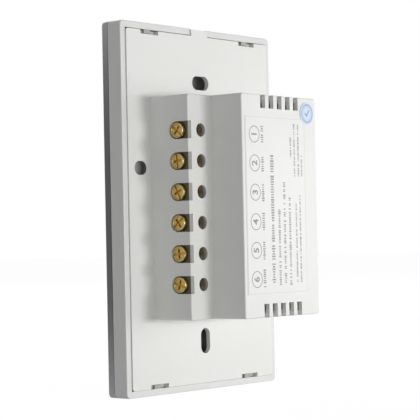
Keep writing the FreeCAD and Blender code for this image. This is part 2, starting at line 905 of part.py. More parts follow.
head_outer = side_x - d.head_recess
head_inner = head_outer - d.head_height
cage_outer = head_inner - d.clamp_travel - d.clamp_gap
cage_right = cage_outer - d.cage_wall
cage_left = cage_right - d.cage_throat
cage_end = cage_left - d.cage_wall
shoe_outer = cage_right - d.clamp_gap
block_right = inner_x - d.block_gap
block_left = block_right - d.block_width
block_rear = step_inside - d.block_gap
cage_rear = block_rear - d.entry_length - d.clamp_gap
cage_front = screw_y * 2 - cage_rear


def make_terminal_blocks():
    blocks = []
    half = (d.terminal_pitch - d.block_gap) / 2
    base = d.power_board_rear
    pocket_half = d.cage_width / 2 + d.clamp_gap
    bore = d.head_diameter + d.head_bore_gap * 2
    for z in terminal_z:
        outer = box("block", block_left, block_right, base, block_rear, z - half, z + half)
        pocket = box(
            "cage_pocket", cage_end - d.clamp_gap, cage_outer + d.clamp_gap,
            base - OVERRUN, cage_rear + d.clamp_gap, z - pocket_half, z + pocket_half,
        )
        head = cylinder(
            "head_bore", "X", cage_outer, block_right + OVERRUN, screw_y, z, bore
        )
        wire = cylinder("entry", "Y", cage_front, block_rear + OVERRUN, wire_x, z, d.wire_hole)
        blocks.append(cut("terminal", outer, [pocket, head, wire]))
    node("terminal_blocks", group("blocks", blocks))


def make_cages():
    cages = []
    half = d.cage_width / 2
    inner = half - d.cage_wall
    leg = d.cage_leg / 2
    bore = d.shank_diameter + d.thread_gap * 2
    for z in terminal_z:
        ring = box("ring", cage_end, cage_outer, cage_front, cage_rear, z - half, z + half)
        throat = box(
            "throat", cage_left, cage_right, cage_front - OVERRUN, cage_rear + OVERRUN,
            z - inner, z + inner,
        )
        thread = cylinder(
            "thread", "X", cage_right - OVERRUN, cage_outer + OVERRUN, screw_y, z, bore
        )
        pin = box("pin", cage_end, cage_left, d.power_board_rear, cage_front, z - leg, z + leg)
        cages.append(fuse("cage", [cut("holder", ring, [throat, thread]), pin]))
    node("terminal_cages", group("cages", cages))


def make_clamps():
    half = d.cage_width / 2 - d.cage_wall - d.shoe_gap
    y0, y1 = cage_front + d.shoe_gap, cage_rear - d.shoe_gap
    for number, z in enumerate(terminal_z, 1):
        inner = shoe_outer - d.shoe_thickness
        shoe = box("shoe", inner, shoe_outer, y0, y1, z - half, z + half)
        node("clamp_shoe_%d" % number, shoe)
        make_terminal_screw(number, z)


def make_terminal_screw(number, z):
    body = new_body("terminal_screw_%d" % number)
    name = "screw_%d_" % number
    shank = circle(0, 0, d.shank_diameter)
    extrude(body, "Pad", name + "shank", "X", shoe_outer, head_inner, [shank])
    head = circle(0, 0, d.head_diameter)
    extrude(body, "Pad", name + "head", "X", head_inner, head_outer, [head])
    rim = edges_at(body.Shape, "X", head_outer.number)
    round_edges(body, name + "edge", rim, d.head_edge)
    half = d.recess_width / 2
    reach = d.head_diameter / 2 + OVERRUN
    arm = d.cross_length / 2
    driver = rectangle(-reach, reach, -half, half)
    floor = head_outer - d.recess_depth
    extrude(body, "Pocket", name + "slot", "X", floor, head_outer, [driver])
    cross = rectangle(-half, half, -arm, arm)
    floor = head_outer - d.cross_depth
    extrude(body, "Pocket", name + "cross", "X", floor, head_outer, [cross])
    body.Placement.Rotation = Rotation(Vector(1, 0, 0), d.recess_turn.number * number)
    bind(body, "Placement.Rotation.Angle", d.recess_turn * number)
    bind(body, "Placement.Base.y", screw_y)
    bind(body, "Placement.Base.z", z)


# Printed sheets

def make_sheets():
    face = d.box_depth
    lift = face + d.sheet_thickness
    u, v = d.label_width / 2, d.label_height / 2
    label = box(
        "label", d.label_x - u, d.label_x + u, face, lift, d.label_z - v, d.label_z + v
    )
    node("rating_label", label)
    node(
        "inspection_sticker",
        cylinder(
            "sticker", "Y", lift, lift + d.sheet_thickness,
            d.sticker_x, d.sticker_z, d.sticker_diameter,
        ),
    )


make_glass()
make_adhesive()
make_frame()
make_hooks()
make_housing()
make_boards()
make_touch_parts()
make_relays()
make_transformer()
make_power_parts()
make_terminal_blocks()
make_cages()
make_clamps()
make_sheets()
doc.recompute()

faults = []
for thing in doc.Objects:
    if "Invalid" in thing.State or "Error" in thing.State:
        faults.append("%s (%s) is in state %s" % (thing.Name, thing.Label, thing.State))
for thing in NODES:
    shape = thing.Shape
    if shape.isNull() or not shape.isValid() or shape.Volume <= 0:
        faults.append("%s has no valid solid" % thing.Label)
if faults:
    raise RuntimeError("\n".join(faults))

os.makedirs("parts", exist_ok=True)
for thing in NODES:
    thing.Shape.exportStep("parts/%s.step" % thing.Label)
    print("%-20s %2d solids %9.2f mm3" % (thing.Label, len(thing.Shape.Solids), thing.Shape.Volume))
print("%d sub-parts" % len(NODES))
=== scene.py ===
import math

import bmesh
import bpy
from mathutils import Matrix, Vector


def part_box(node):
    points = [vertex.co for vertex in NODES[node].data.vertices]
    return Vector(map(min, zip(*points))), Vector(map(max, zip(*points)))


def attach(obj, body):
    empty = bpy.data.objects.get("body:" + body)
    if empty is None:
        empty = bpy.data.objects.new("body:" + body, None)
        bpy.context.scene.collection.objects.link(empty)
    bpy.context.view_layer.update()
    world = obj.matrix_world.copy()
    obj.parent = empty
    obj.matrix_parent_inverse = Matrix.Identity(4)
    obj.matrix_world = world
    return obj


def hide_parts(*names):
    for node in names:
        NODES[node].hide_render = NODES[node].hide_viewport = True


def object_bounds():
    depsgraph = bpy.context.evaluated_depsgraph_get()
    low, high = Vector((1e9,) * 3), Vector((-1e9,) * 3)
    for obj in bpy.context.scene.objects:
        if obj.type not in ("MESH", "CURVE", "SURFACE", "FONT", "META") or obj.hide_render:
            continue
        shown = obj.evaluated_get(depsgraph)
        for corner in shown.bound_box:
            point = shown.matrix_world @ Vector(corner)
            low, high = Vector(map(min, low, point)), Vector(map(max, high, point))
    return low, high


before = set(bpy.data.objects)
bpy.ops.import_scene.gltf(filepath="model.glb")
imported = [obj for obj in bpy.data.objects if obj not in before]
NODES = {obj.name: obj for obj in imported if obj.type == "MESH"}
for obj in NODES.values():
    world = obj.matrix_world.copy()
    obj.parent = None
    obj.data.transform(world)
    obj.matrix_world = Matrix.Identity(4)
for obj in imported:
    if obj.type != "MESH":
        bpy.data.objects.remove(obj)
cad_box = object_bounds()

# A four-key touch wall switch, seen from behind and from its terminal side.
# Lengths are in millimetres until a mesh is finished, but for the floor, the lamps and the
# first values of the geometry trees, which are in metres.

MM = 0.001


def tone(red, green, blue):
    """A colour from its 0 to 255 display values."""
    linear = [
        v / 12.92 if v <= 0.04045 else ((v + 0.055) / 1.055) ** 2.4
        for v in (red / 255, green / 255, blue / 255)
    ]
    return (*linear, 1.0)


def dimmed(colour, share):
    return (*[v * share for v in colour[:3]], 1.0)


def middle(node):
    """The middle of a CAD node's box, in millimetres."""
    low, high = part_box(node)
    return (low + high) / 2 / MM


def ends(node, axis):
    low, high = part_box(node)
    return low[axis] / MM, high[axis] / MM


# Node trees


class Wire:
    """A socket that can be used in sums, as a number can."""

    def __init__(self, tree, socket):
        self.tree, self.socket = tree, socket

    def maths(self, operation, *values, clamped=False):
        settings = {"operation": operation, "use_clamp": clamped}
        return self.tree.node("ShaderNodeMath", settings, dict(enumerate(values)))

    def __add__(self, other):
        return self.maths("ADD", self, other)

    def __radd__(self, other):
        return self.maths("ADD", other, self)

    def __sub__(self, other):
        return self.maths("SUBTRACT", self, other)

    def __rsub__(self, other):
        return self.maths("SUBTRACT", other, self)

    def __mul__(self, other):
        return self.maths("MULTIPLY", self, other)

    def __truediv__(self, other):
        return self.maths("DIVIDE", self, other)

    def __mod__(self, other):
        return self.maths("FLOORED_MODULO", self, other)

    def __pow__(self, other):
        return self.maths("POWER", self, other)

    def __abs__(self):
        return self.maths("ABSOLUTE", self)

    def over(self, other):
        return self.maths("GREATER_THAN", self, other)

    def under(self, other):
        return self.maths("LESS_THAN", self, other)

    def near(self, other, reach):
        return self.maths("COMPARE", self, other, reach)

    def least(self, other):
        return self.maths("MINIMUM", self, other)

    def most(self, other):
        return self.maths("MAXIMUM", self, other)

    def root(self):
        return self.maths("SQRT", self)

    def held(self):
        return self.maths("ADD", self, 0.0, clamped=True)


class Tree:
    """A node tree that is built one node at a time."""

    def __init__(self, nodes, links):
        self.nodes, self.links = nodes, links

    def node(self, kind, settings=None, inputs=None, output=0):
        made = self.nodes.new(kind)
        for name, value in (settings or {}).items():
            setattr(made, name, value)
        for name, value in (inputs or {}).items():
            if isinstance(value, Wire):
                self.links.new(value.socket, made.inputs[name])
            else:
                made.inputs[name].default_value = value
        return Wire(self, made.outputs[output])


class Paint(Tree):
    """A material with one surface shader, whose patterns are placed in millimetres."""

    def __init__(self, name, **constants):
        self.material = bpy.data.materials.new(name)
        self.material.use_nodes = True
        tree = self.material.node_tree
        super().__init__(tree.nodes, tree.links)
        self.shader = tree.nodes["Principled BSDF"]
        for socket, value in constants.items():
            self.shader.inputs[socket.replace("_", " ")].default_value = value
        place = self.node("ShaderNodeTexCoord", output="Object")
        self.place = self.scaled(place, 1 / MM)

    def scaled(self, vector, share):
        settings = {"operation": "SCALE"}
        return self.node("ShaderNodeVectorMath", settings, {0: vector, "Scale": share})

    def stretched(self, x, y, z):
        settings = {"operation": "MULTIPLY"}
        return self.node("ShaderNodeVectorMath", settings, {0: self.place, 1: (x, y, z)})

    def axes(self):
        inputs = {0: self.place}
        return [self.node("ShaderNodeSeparateXYZ", None, inputs, k) for k in range(3)]

    def noise(self, scale, detail=2.0, vector=None, rough=0.5):
        inputs = {
            "Vector": vector or self.place, "Scale": scale, "Detail": detail, "Roughness": rough,
        }
        return self.node("ShaderNodeTexNoise", {"normalize": True}, inputs)

    def cells(self, scale, settings=None, vector=None, output="Distance"):
        inputs = {"Vector": vector or self.place, "Scale": scale}
        return self.node("ShaderNodeTexVoronoi", settings, inputs, output)

    def waves(self, scale, direction, distortion=0.0):
        settings = {"wave_type": "BANDS", "bands_direction": direction}
        inputs = {"Vector": self.place, "Scale": scale, "Distortion": distortion}
        return self.node("ShaderNodeTexWave", settings, inputs, "Fac")

    def mix(self, first, second, share):
        settings = {"data_type": "RGBA", "blend_type": "MIX"}
        return self.node("ShaderNodeMix", settings, {0: share, 6: first, 7: second}, 2)

    def bumps(self, height, depth):
        """A normal from a height of 0 to 1, which stands for a depth in millimetres."""
        inputs = {"Height": height, "Distance": depth * MM, "Strength": 1.0}
        return self.node("ShaderNodeBump", None, inputs)

    def done(self, **wires):
        for socket, value in wires.items():
            self.links.new(value.socket, self.shader.inputs[socket.replace("_", " ")])
        return self.material


class Layout(Tree):
    """A geometry tree with named inputs. It ends in real faces of one material."""

    SOCKETS = {
        float: "NodeSocketFloat", int: "NodeSocketInt", tuple: "NodeSocketVector",
    }

    def __init__(self, name, **sizes):
        self.group = bpy.data.node_groups.new(name, "GeometryNodeTree")
        super().__init__(self.group.nodes, self.group.links)
        face = self.group.interface
        face.new_socket("Geometry", in_out="INPUT", socket_type="NodeSocketGeometry")
        for size, value in sizes.items():
            made = face.new_socket(
                size, in_out="INPUT", socket_type=self.SOCKETS[type(value)]
            )
            made.default_value = value
        face.new_socket("Geometry", in_out="OUTPUT", socket_type="NodeSocketGeometry")
        self.entry = self.nodes.new("NodeGroupInput")

    def given(self, name):
        return Wire(self, self.entry.outputs[name])

    def end(self, shape, material):
        real = self.node("GeometryNodeRealizeInstances", None, {0: shape})
        inputs = {"Geometry": real, "Material": material}
        painted = self.node("GeometryNodeSetMaterial", None, inputs)
        last = self.nodes.new("NodeGroupOutput")
        self.links.new(painted.socket, last.inputs["Geometry"])

    def mesh(self, base, **sizes):
        """The plain mesh that the tree makes from a base mesh."""
        holder = bpy.data.objects.new("holder", base)
        bpy.context.collection.objects.link(holder)
        modifier = holder.modifiers.new("layout", "NODES")
        modifier.node_group = self.group
        for item in self.group.interface.items_tree:
            if item.in_out == "INPUT" and item.name in sizes:
                modifier[item.identifier] = sizes[item.name]
        made = plain_mesh(holder)
        bpy.data.objects.remove(holder)
        return made


def plain_mesh(thing):
    """The finished mesh of an object, with its modifiers applied."""
    graph = bpy.context.evaluated_depsgraph_get()
    graph.update()
    return bpy.data.meshes.new_from_object(thing.evaluated_get(graph), depsgraph=graph)


# Camera

AZIMUTH, ELEVATION, ROLL = (math.radians(a) for a in (129.790, -1.126, -1.196))
TARGET = Vector((-3.612, 0.0, -0.293))
CAMERA_DISTANCE = 526.51
FOCAL_PIXELS = 1617.47
PICTURE_PIXELS = 420
SENSOR = 36.0


def make_camera():
    back = Vector((
        math.sin(AZIMUTH) * math.cos(ELEVATION),
        -math.cos(AZIMUTH) * math.cos(ELEVATION),
        math.sin(ELEVATION),
    ))
    right = (-back).cross(Vector((0, 0, 1))).normalized()
    up = right.cross(-back)
    across = right * math.cos(ROLL) + up * math.sin(ROLL)
    upright = up * math.cos(ROLL) - right * math.sin(ROLL)
    data = bpy.data.cameras.new("camera")
    data.sensor_width = SENSOR
    data.lens = FOCAL_PIXELS / PICTURE_PIXELS * SENSOR
    data.clip_start, data.clip_end = 0.01, 50.0
    camera = bpy.data.objects.new("camera", data)
    bpy.context.collection.objects.link(camera)
    turn = Matrix((across, upright, back)).transposed().to_4x4()
    camera.matrix_world = Matrix.Translation((TARGET + back * CAMERA_DISTANCE) * MM) @ turn
    bpy.context.scene.camera = camera


make_camera()

# Studio: a pale floor, soft lamps, and a surround that is white to the camera and to
# reflections and lights everything else dimly

FLOOR_SIZE = 8.0
FLOOR_GAP = 0.02
FLOOR_GLOW = 1.12
FLOOR_SHARE = 0.84
AMBIENT = 0.23
LAMPS = [
    # name, place in metres, width, height, watts
    ("key", (-0.25, 0.97, 0.0), 0.3, 0.11, 3.85),
    ("rear_fill", (0.1, 1.0, 0.0), 0.3, 0.11, 1.0),
    ("far_side", (-0.5, 0.3, 0.0), 0.3, 0.11, 0.66),
    ("near_side", (0.9, 0.4, 0.0), 0.5, 0.11, 0.74),
    ("front", (-0.3, -1.1, 0.5), 0.8, 0.8, 4.25),
]


def make_lamp(name, place, width, height, watts):
    data = bpy.data.lights.new(name, "AREA")
    data.shape, data.size, data.size_y, data.energy = "RECTANGLE", width, height, watts
    lamp = bpy.data.objects.new(name, data)
    bpy.context.collection.objects.link(lamp)
    lamp.location = place
    lamp.rotation_euler = Vector(place).to_track_quat("Z", "Y").to_euler()


def ray_kind(tree, *kinds):
    """1 where the ray is of one of these kinds."""
    rays = [tree.node("ShaderNodeLightPath", None, None, "Is %s Ray" % kind) for kind in kinds]
    share = rays[0]
    for ray in rays[1:]:
        share = share.most(ray)
    return share


def make_surround():
    world = bpy.data.worlds.new("surround")
    bpy.context.scene.world = world
    world.use_nodes = True
    tree = Tree(world.node_tree.nodes, world.node_tree.links)
    light = world.node_tree.nodes["Background"]
    seen = ray_kind(tree, "Camera", "Glossy", "Transmission")
    strength = AMBIENT + seen * (1.0 - AMBIENT)
    tree.links.new(strength.socket, light.inputs["Strength"])
    light.inputs["Color"].default_value = (1.0, 1.0, 1.0, 1.0)


def make_floor():
    material = bpy.data.materials.new("studio_floor")
    material.use_nodes = True
    tree = Tree(material.node_tree.nodes, material.node_tree.links)
    cloth = material.node_tree.nodes["Principled BSDF"]
    cloth.inputs["Base Color"].default_value = tone(236, 236, 236)
    cloth.inputs["Roughness"].default_value = 0.9
    inputs = {"Color": (1, 1, 1, 1), "Strength": FLOOR_GLOW}
    glow = tree.node("ShaderNodeEmission", None, inputs)
    seen = ray_kind(tree, "Camera", "Glossy", "Transmission") * FLOOR_SHARE
    both = tree.node("ShaderNodeMixShader", None, {0: seen, 2: glow})
    tree.links.new(cloth.outputs[0], both.socket.node.inputs[1])
    output = material.node_tree.nodes["Material Output"]
    tree.links.new(both.socket, output.inputs["Surface"])
    low = cad_box[0][2] - FLOOR_GAP * MM
    half = FLOOR_SIZE / 2
    mesh = bpy.data.meshes.new("studio_floor")
    corners = [(-half, -half, low), (half, -half, low), (half, half, low), (-half, half, low)]
    mesh.from_pydata(corners, [], [(0, 1, 2, 3)])
    mesh.materials.append(material)
    floor = bpy.data.objects.new("studio_floor", mesh)
    bpy.context.collection.objects.link(floor)


for lamp in LAMPS:
    make_lamp(*lamp)
make_surround()
make_floor()

scene = bpy.context.scene
scene.view_settings.view_transform = "Standard"

# Materials

# Where the CAD part's features lie, so that their finish can follow them
TERMINALS = 6
WIRE_X, WIRE_RADIUS = 18.6, 2.1
STEP_FACE, BORE_FLOOR, TERMINAL_REACH = 15.4, 13.5, 28.7
SIDE_X, SIDE_Z, SIDE_REACH = 29.6, 12.7, 3.0
SIDE_MIDDLE_Y, SIDE_HALF_DEPTH, SIDE_SHADE_LENGTH = -1.0, 0.95, 4.6
VENT_X, VENT_Z, VENT_FLOOR, VENT_RIM = -5.45, 32.5, 19.7, 27.35
VENT_REACH_X, VENT_REACH_Z = 9.8, 1.9
WINDOW_Z, WINDOW_REACH, WINDOW_FLOOR = 54.4, 4.25, -1.6
TOP_WINDOW_X, BOTTOM_WINDOW_X = 24.3, 22.5
KEY_X, KEY_Z = 14.0, 17.0
HEAD_TOP = ends("terminal_screw_1", 0)[1]
SKIN = 0.02

# Marks that the finishes draw
RING_RADIUS, RING_WIDTH, WINDOW_RADIUS = 6.5, 0.35, 0.5
TURNING_RATE = 34.0
DISH_REACH, DISH_FADE, DISH_EDGE = 1.75, 0.35, 0.13
RECESS_START, RECESS_FADE = 0.9, 0.7
STICKER_TICKS = 28
STICKER_RING, STICKER_RING_HALF = 2.85, 0.24
TICK_RING, TICK_HALF, TICK_SHARE = 2.25, 0.28, 0.34
TICK_MARK = [(-0.95, -0.05), (-0.25, -0.8), (1.05, 0.95)]
TICK_MARK_HALF = 0.34


def moulded(name, colour, roughness, grain=0.006, grain_scale=3.0, mottle=0.03):
    """Moulded plastic: fine spark-eroded grain, a faint flow mottle and slightly uneven gloss."""
    paint = Paint(name, IOR=1.5)
    broad = paint.noise(0.035, 3.0)
    fine = paint.noise(grain_scale, 3.0, rough=0.6)
    shade = paint.mix(dimmed(colour, 1 - mottle), colour, broad * 0.7 + fine * 0.3)
    gloss = roughness - 0.05 + broad * 0.06 + fine * 0.06
    return paint.done(
        Base_Color=shade, Roughness=gloss, Normal=paint.bumps(fine, grain),
    )


def white_housing():
    """Moulded white plastic, with painted light and shade inside each kind of opening.

    The wire holes carry a painted brown-grey shade, strongest deep in each hole; the vent walls
    are painted paler as painted light; the hook-window floors are painted darker as painted
    shade; and the side recess has a grey lining with painted shade, darker towards its -X end.
    """
    paint = Paint("white_housing", IOR=1.5)
    x, y, z = paint.axes()
    broad = paint.noise(0.035, 3.0)
    fine = paint.noise(3.0, 3.0, rough=0.6)
    white = tone(232, 232, 229)
    shade = paint.mix(dimmed(white, 0.97), white, broad * 0.7 + fine * 0.3)
    # Painted shade: each wire hole's wall is painted brown-grey, strongest deep in the hole and fading
    # towards the step face.
    u, v = x - WIRE_X, terminal_offset(z)
    bore = (u * u + v * v).root().under(WIRE_RADIUS + 0.03) * y.over(BORE_FLOOR)
    bore = bore * abs(z).under(TERMINAL_REACH) * y.under(STEP_FACE - SKIN)
    painted_bore_shade = bore * (1.0 - (y - BORE_FLOOR) / (STEP_FACE - BORE_FLOOR) * 0.7)
    shade = paint.mix(shade, tone(168, 160, 132), painted_bore_shade.held())
    # Painted light: the vent walls are painted paler than the housing's white, to stand in for light
    # reaching into the vents.
    slots = y.over(VENT_FLOOR) * y.under(VENT_RIM) * abs(z).near(VENT_Z, VENT_REACH_Z)
    slots = slots * x.near(VENT_X, VENT_REACH_X)
    shade = paint.mix(shade, tone(252, 252, 250), slots)
    # Painted shade: the floors of the hook windows are painted a darker grey.
    top = z.over(WINDOW_Z) * abs(x).near(TOP_WINDOW_X, WINDOW_REACH)
    bottom = z.under(-WINDOW_Z) * abs(x).near(BOTTOM_WINDOW_X, WINDOW_REACH)
    shade = paint.mix(shade, tone(196, 196, 192), (top + bottom) * y.under(WINDOW_FLOOR))
    # A grey lining in the side recess, with painted shade: darker towards its -X end.
    lined = x.near(SIDE_X, SIDE_REACH) * z.near(SIDE_Z, SIDE_REACH)
    lined = lined * y.near(SIDE_MIDDLE_Y, SIDE_HALF_DEPTH)
    along = ((x - SIDE_X) / SIDE_SHADE_LENGTH + 0.5).held()
    glass_dust_and_recess_painted_shade = paint.mix(tone(104, 104, 101), tone(188, 188, 185), along)
    shade = paint.mix(shade, glass_dust_and_recess_painted_shade, lined)
    gloss = 0.37 + broad * 0.06 + fine * 0.06
    return paint.done(
        Base_Color=shade, Roughness=gloss, Normal=paint.bumps(fine, 0.006),
    )


def black_glass():
    """Black-backed glass: four thin plain rings with a small window, printed behind the front."""
    paint = Paint("black_glass", IOR=1.52)
    x, y, z = paint.axes()
    front = y.under(ends("glass_panel", 1)[0] + 0.05)
    u, v = abs(x) - KEY_X, abs(z) - KEY_Z
    reach = (u * u + v * v).root()
    marks = (reach.near(RING_RADIUS, RING_WIDTH / 2) + reach.under(WINDOW_RADIUS)).held() * front
    smear = paint.noise(0.05, 4.0)
    glass_dust_and_recess_painted_shade = paint.noise(1.6, 2.0)
    black = paint.mix(tone(21, 22, 24), tone(30, 31, 33), smear)
    ground = 1 - (abs(x).under(ends("glass_panel", 0)[1] - 0.3) * front)
    # Painted reflection: the ground edge is painted lighter towards the panel's top and bottom ends.
    painted_reflection_share = (abs(z) / ends("glass_panel", 2)[1]) ** 3.0
    edge = paint.mix(tone(86, 87, 89), tone(190, 191, 194), painted_reflection_share)
    edged = paint.mix(black, edge, ground)
    base = paint.mix(edged, tone(196, 200, 204), marks * 0.85)
    gloss = 0.03 + smear * 0.03 + glass_dust_and_recess_painted_shade * 0.01 + ground * 0.13
    return paint.done(
        Base_Color=base, Roughness=gloss, Normal=paint.bumps(smear, 0.01),
    )


def brushed_metal(name, colour, roughness, direction="Z", dark=0.6, scale=9.0):
    """Drawn or rolled metal: fine lines along the way it was worked, and dull patches."""
    paint = Paint(name, Metallic=1.0)
    stretch = {"X": (0.05, 1, 1), "Y": (1, 0.05, 1), "Z": (1, 1, 0.05)}[direction]
    lines = paint.noise(scale, 4.0, paint.stretched(*stretch))
    patches = paint.noise(0.9, 3.0)
    worn = paint.mix(dimmed(colour, dark), colour, (lines * 0.5 + patches * 0.75).held())
    gloss = roughness - 0.08 + lines * 0.16 + patches * 0.08
    return paint.done(
        Base_Color=worn, Roughness=gloss, Normal=paint.bumps(lines, 0.004),
    )


def terminal_plastic():
    """Dark brown moulding; each wire hole's brass-yellow throat carries a painted sheen and glint."""
    paint = Paint("terminal_plastic", IOR=1.5)
    x, _, z = paint.axes()
    broad = paint.noise(0.05, 3.0)
    fine = paint.noise(3.0, 3.0, rough=0.6)
    brown = tone(104, 96, 74)
    shade = paint.mix(dimmed(brown, 0.85), brown, broad * 0.7 + fine * 0.3)
    # The throat's brass yellow stands for the metal cage; its paleness is a painted sheen, lightest
    # towards the lower side as a painted glint.
    u, v = x - WIRE_X, terminal_offset(z)
    throat = (u * u + v * v).root().under(WIRE_RADIUS + 0.1)
    yellow = paint.mix(tone(186, 172, 138), tone(255, 246, 216), ((-0.3 - v) / 1.4).held())
    shade = paint.mix(shade, yellow, throat * (0.8 + fine * 0.2))
    return paint.done(
        Base_Color=shade, Roughness=0.45 + broad * 0.06 + fine * 0.06,
        Normal=paint.bumps(fine, 0.008),
    )


def terminal_offset(z):
    """How far a point stands above or below the nearest terminal's middle."""
    first, last = middle("terminal_screw_1")[2], middle("terminal_screw_%d" % TERMINALS)[2]
    pitch = (first - last) / (TERMINALS - 1)
    return (z - last + pitch / 2) % pitch - pitch / 2


def brass_screw():
    """Yellow passivated brass: turned rings on the head, a deeper yellow dish, a darker recess."""
    paint = Paint("screw_brass", Metallic=1.0)
    x, y, z = paint.axes()
    u, v = y - middle("terminal_screw_1")[1], terminal_offset(z)
    reach = (u * u + v * v).root()
    rings = reach.maths("SINE", reach * TURNING_RATE) * 0.5 + 0.5
    deep = 1 - ((x - HEAD_TOP + RECESS_START) / RECESS_FADE).held()
    patches = paint.noise(1.3, 4.0)
    fine = paint.noise(7.0, 3.0)
    base = paint.mix(tone(148, 136, 86), tone(196, 182, 128), patches * 0.6 + fine * 0.4)
    dished = ((DISH_REACH - reach) / DISH_FADE).held()
    base = paint.mix(base, tone(190, 158, 80), dished * (0.6 + patches * 0.4))
    # Darker in the cross recess and in a thin ring at the edge of the dish.
    recess_and_dish_ring_darkening = (deep * 0.55 + reach.near(DISH_REACH, DISH_EDGE) * 0.6).held()
    base = paint.mix(base, tone(170, 128, 62), recess_and_dish_ring_darkening)
    gloss = 0.28 + patches * 0.1 + fine * 0.08 + deep * 0.15 + dished * 0.12
    bump = paint.bumps(rings * 0.35 + fine * 0.65, 0.006)
    return paint.done(Base_Color=base, Roughness=gloss, Normal=bump)


def circuit_board(name, mask, copper, mark):
    """Solder mask over copper: a grid-like web of traces, plated pads and thin print lines."""
    web_scale, pad_scale = 0.16, 0.42
    paint = Paint(name, IOR=1.5)
    x, _, z = paint.axes()
    flat = paint.node("ShaderNodeCombineXYZ", None, {0: x, 1: z})
    second = paint.cells(web_scale, {"distance": "MANHATTAN", "feature": "F2"}, flat)
    first = paint.cells(web_scale, {"distance": "MANHATTAN", "feature": "F1"}, flat)
    trace = (second - first).under(0.16)
    pads = paint.cells(pad_scale, {"feature": "F1"}, flat)
    pad, hole = pads.under(0.2), pads.under(0.09)
    weave = paint.waves(1.2, "X") * paint.waves(1.2, "Z")
    base = paint.mix(mask, dimmed(mask, 1.6), trace)
    base = paint.mix(base, copper, pad * (1 - hole))
    # Painted shade: each hole in a pad is a dark painted spot; no hole is cut.
    base = paint.mix(base, tone(30, 28, 24), hole)
    rules = ((x / 7.3) % 1.0).under(0.025) * ((z / 9.1) % 1.0).over(0.45)
    base = paint.mix(base, mark, rules * 0.8)
    gloss = 0.28 + pad * 0.12 + weave * 0.05
    bump = paint.bumps(trace * 0.6 + pad * 0.4 + weave * 0.1, 0.03)
    return paint.done(
        Base_Color=base, Roughness=gloss, Metallic=pad * (1 - hole), Normal=bump,
    )


def winding_tape():
    """Yellow film tape round a coil: overlapping turns and a slightly wavy surface."""
    paint = Paint("winding_tape", IOR=1.5)
    laps = paint.waves(0.35, "Y", 0.4)
    wrinkle = paint.noise(0.6, 4.0)
    base = paint.mix(tone(196, 150, 44), tone(226, 186, 72), laps * 0.5 + wrinkle * 0.5)
    bump = paint.bumps(laps * 0.7 + wrinkle * 0.3, 0.06)
    return paint.done(Base_Color=base, Roughness=0.22 + wrinkle * 0.2, Normal=bump)


def capacitor_sleeve():
    """Shrunk sleeve with one pale stripe of short dashes, and a bare can top with a scored cross."""
    top_radius, top_skin, score_half = 3.3, 0.05, 0.12
    stripe_half, dash_pitch, dash_half = 0.9, 2.6, 0.22
    paint = Paint("capacitor_sleeve", IOR=1.5)
    x, y, z = paint.axes()
    centre, high = middle("bulk_capacitor"), ends("bulk_capacitor", 1)[1]
    u, v = x - centre[0], z - centre[2]
    top = y.over(high - top_skin) * (u * u + v * v).root().under(top_radius)
    score = (abs(u).under(score_half) + abs(v).under(score_half)).held() * top
    stripe = abs(v).under(stripe_half) * u.over(0.0) * (1 - top)
    dashes = stripe * ((y / dash_pitch) % 1.0).near(0.5, 0.28) * abs(v).under(dash_half)
    scuff = paint.noise(1.5, 4.0)
    base = paint.mix(tone(22, 26, 44), tone(34, 40, 64), scuff)
    base = paint.mix(base, tone(176, 180, 186), stripe)
    base = paint.mix(base, tone(30, 32, 44), dashes)
    base = paint.mix(base, tone(190, 190, 190), top)
    gloss = 0.3 + scuff * 0.12 + top * 0.1
    bump = paint.bumps(scuff * 0.4 + (1 - score) * 0.6, 0.05)
    return paint.done(Base_Color=base, Roughness=gloss, Metallic=top, Normal=bump)


def coated(name, colour, roughness, lumps=0.05, scale=0.5):
    """Dipped or cast coating, with a smooth uneven skin."""
    paint = Paint(name, IOR=1.52)
    skin = paint.noise(scale, 3.0)
    fine = paint.noise(scale * 12, 2.0)
    base = paint.mix(dimmed(colour, 0.8), colour, skin * 0.8 + fine * 0.2)
    bump = paint.bumps(skin * 0.9 + fine * 0.1, lumps)
    return paint.done(Base_Color=base, Roughness=roughness + fine * 0.08, Normal=bump)


def fuse_sleeve():
    """Ceramic tube with a plated cap at each end."""
    cap_length = 1.9
    paint = Paint("fuse_sleeve", IOR=1.5)
    y = paint.axes()[1]
    low, high = ends("fuse", 1)
    cap = (y.under(low + cap_length) + y.over(high - cap_length)).held()
    fine = paint.noise(4.0, 3.0)
    base = paint.mix(tone(214, 208, 194), tone(232, 228, 218), fine)
    base = paint.mix(base, tone(196, 194, 188), cap)
    return paint.done(
        Base_Color=base, Roughness=0.26 + fine * 0.14, Metallic=cap,
        Normal=paint.bumps(fine * 0.4 + cap * 0.6, 0.03),
    )


def shield_tin():
    """Tinned can: an even grid of small round holes in worn tin, each a dark spot of painted shade."""
    hole_pitch = 1.4
    paint = Paint("shield_tin")
    x, _, z = paint.axes()
    centre = middle("wireless_shield")
    u, v = (x - centre[0]) / hole_pitch, (z - centre[2]) / hole_pitch
    u, v = u % 1.0 - 0.5, v % 1.0 - 0.5
    hole = (u * u + v * v).under(0.035)
    worn = paint.noise(1.2, 4.0)
    base = paint.mix(tone(178, 178, 174), tone(214, 214, 210), worn)
    # Painted shade: the holes are dark painted spots on the tin; no holes are cut.
    base = paint.mix(base, tone(24, 24, 24), hole)
    return paint.done(
        Base_Color=base, Roughness=0.24 + worn * 0.2, Metallic=1 - hole,
        Normal=paint.bumps(worn * 0.3 + (1 - hole) * 0.7, 0.08),
    )


